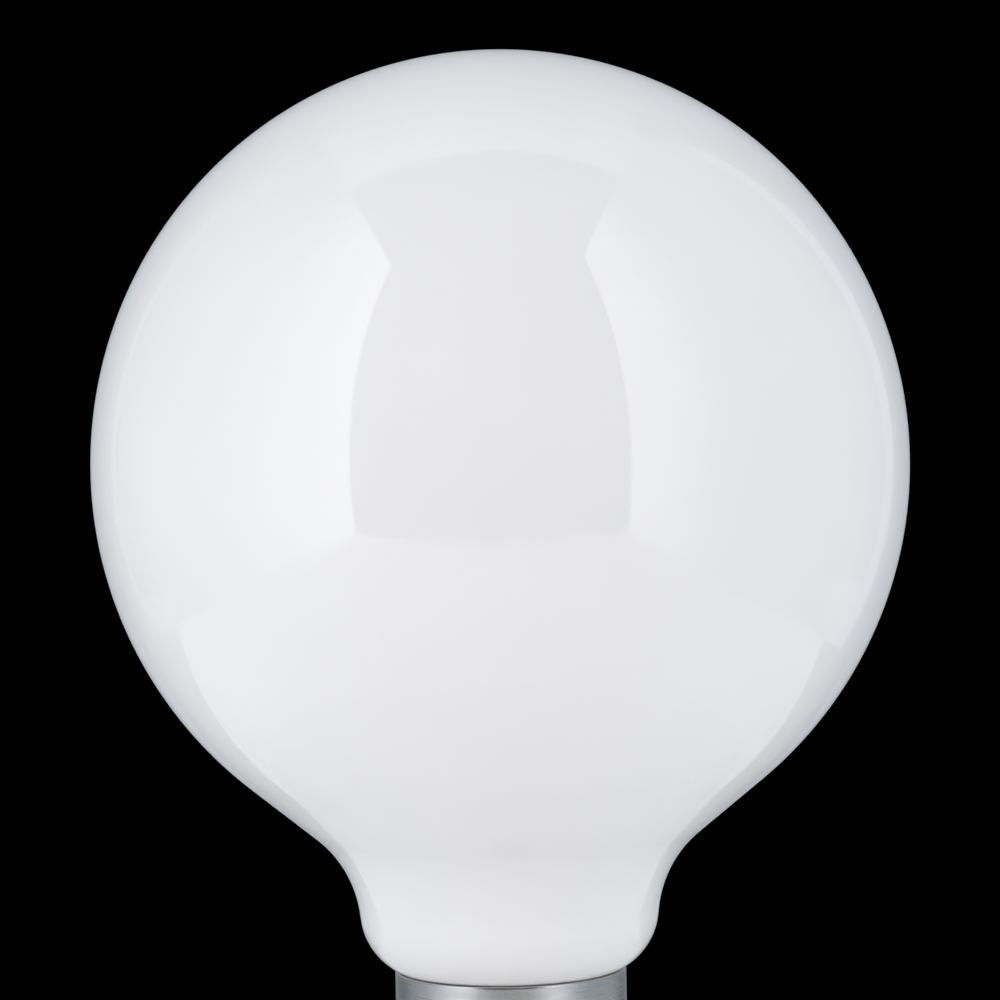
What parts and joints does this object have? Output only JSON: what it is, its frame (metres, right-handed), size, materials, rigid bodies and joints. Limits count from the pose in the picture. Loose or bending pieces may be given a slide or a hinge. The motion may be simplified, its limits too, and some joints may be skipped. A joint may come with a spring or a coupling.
{
  "type": "globe bulb",
  "caption": "White opal glass globe lamp, unlit: a ball that draws in to a short rounded neck, cemented in a metal screw cap with a black insulator and a centre contact.",
  "frame": {"origin": "the flat tip of the centre contact, on the bulb's axis", "axes": "+Z along the bulb's axis, from the cap up to the crown; the side solder is towards -X and +Y"},
  "size_m": [0.095, 0.095, 0.1339],
  "materials": {
    "opal_glass": "white opal glass, fire polished, opaque",
    "cement": "fine capping cement, matt",
    "cap_sheet": "drawn and rolled sheet, satin",
    "black_glass": "pressed black glass, opaque",
    "contact_brass": "stamped brass",
    "solder": "tin solder, set from the melt"
  },
  "bodies": {
    "root": {"globe": "opal_glass", "cement_ring": "cement", "screw_shell": "cap_sheet", "insulator": "black_glass", "contact_plate": "contact_brass", "tip_solder": "solder", "side_solder": "solder"}
  },
  "joints": []
}
